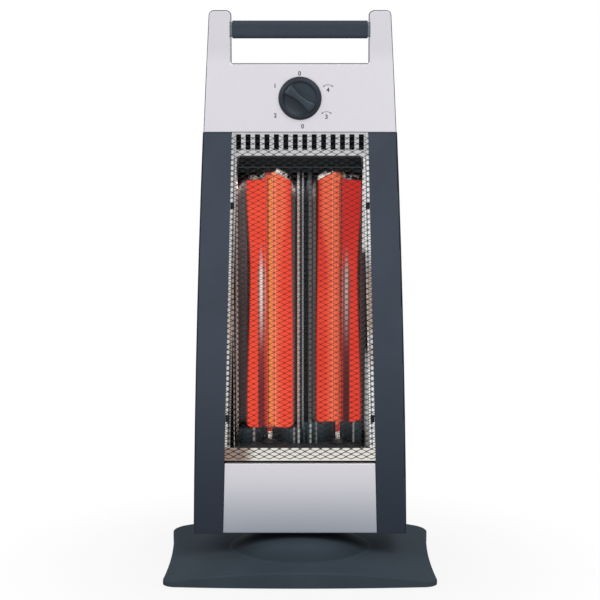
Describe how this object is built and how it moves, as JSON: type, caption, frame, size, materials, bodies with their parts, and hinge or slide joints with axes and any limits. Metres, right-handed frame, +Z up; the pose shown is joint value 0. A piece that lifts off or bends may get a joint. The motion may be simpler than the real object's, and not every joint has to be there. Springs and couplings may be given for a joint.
{
  "type": "carbon fibre heater",
  "caption": "Tower heater that swings on a low dark base, with a silver control panel and handle above a mesh window over glowing carbon tubes.",
  "frame": {"origin": "on the floor under the swing axis, at the middle of the base", "axes": "+Z up, the front of the heater faces -Y, +X to the viewer's right"},
  "size_m": [0.2952, 0.224, 0.613],
  "materials": {
    "dark_plastic": "satin charcoal moulding",
    "knob_plastic": "satin charcoal moulding",
    "silver_paint": "satin silver paint",
    "collar_silver": "light grey",
    "mesh_metal": "satin black",
    "reflector_metal": "bright",
    "plated_steel": "zinc plated",
    "screw_steel": "zinc plated",
    "black_steel": "matt black",
    "quartz": "clear quartz",
    "carbon": "glowing carbon fibre",
    "ceramic": "unglazed steatite",
    "rubber": "matt",
    "nylon": "natural",
    "switch_plastic": "moulded phenolic"
  },
  "bodies": {
    "base": {"base_cover": "dark_plastic", "base_plate": "plated_steel", "foot_pads": "rubber", "base_screws": "screw_steel", "cord_gland": "rubber", "pivot_bush": "nylon", "swing_motor": "plated_steel", "motor_screws": "screw_steel", "tip_switch": "switch_plastic"},
    "tower": {"left_rail": "dark_plastic", "right_rail": "dark_plastic", "rear_cover": "dark_plastic", "handle_bar": "dark_plastic", "guard_clips": "dark_plastic", "control_panel": "silver_paint", "lower_panel": "silver_paint", "handle_collars": "collar_silver", "mesh_guard": "mesh_metal", "reflector": "reflector_metal", "window_frame": "reflector_metal", "heat_shield": "plated_steel", "swing_arm": "plated_steel", "pivot_washer": "plated_steel", "pivot_nut": "plated_steel", "handle_rod": "plated_steel", "tower_floor": "plated_steel", "casing_screws": "screw_steel", "floor_screws": "screw_steel", "upper_bracket": "black_steel", "lower_bracket": "black_steel", "left_tube": "quartz", "right_tube": "quartz", "left_filament": "carbon", "right_filament": "carbon", "left_upper_cap": "ceramic", "left_lower_cap": "ceramic", "right_upper_cap": "ceramic", "right_lower_cap": "ceramic", "thrust_washer": "nylon", "rotary_switch": "switch_plastic", "thermal_cutout": "switch_plastic", "terminal_block": "switch_plastic"},
    "crank": {"motor_crank": "nylon"},
    "knob": {"control_knob": "knob_plastic", "switch_shaft": "plated_steel"},
    "plunger": {"tip_plunger": "nylon"}
  },
  "joints": [
    {"name": "tower_swing", "type": "hinge", "parent": "base", "child": "tower", "pos_m": [0, 0, 0.04], "axis": [0, 0, 1], "range_deg": [-30, 30]},
    {"name": "crank_turn", "type": "hinge", "parent": "base", "child": "crank", "pos_m": [0, 0.024, 0.02], "axis": [0, 0, 1], "range_deg": [-91, 91]},
    {"name": "knob_turn", "type": "hinge", "parent": "tower", "child": "knob", "pos_m": [0, -0.044, 0.5202], "axis": [0, -1, 0], "continuous": true},
    {"name": "plunger_drop", "type": "slide", "parent": "base", "child": "plunger", "axis": [0, 0, -1], "range_m": [0, 0.0045], "stiffness_N_per_m": 60, "springref_m": 0.01}
  ],
  "couplings": [
    {"joint": "crank_turn", "follows": "tower_swing", "ratio": 3}
  ]
}
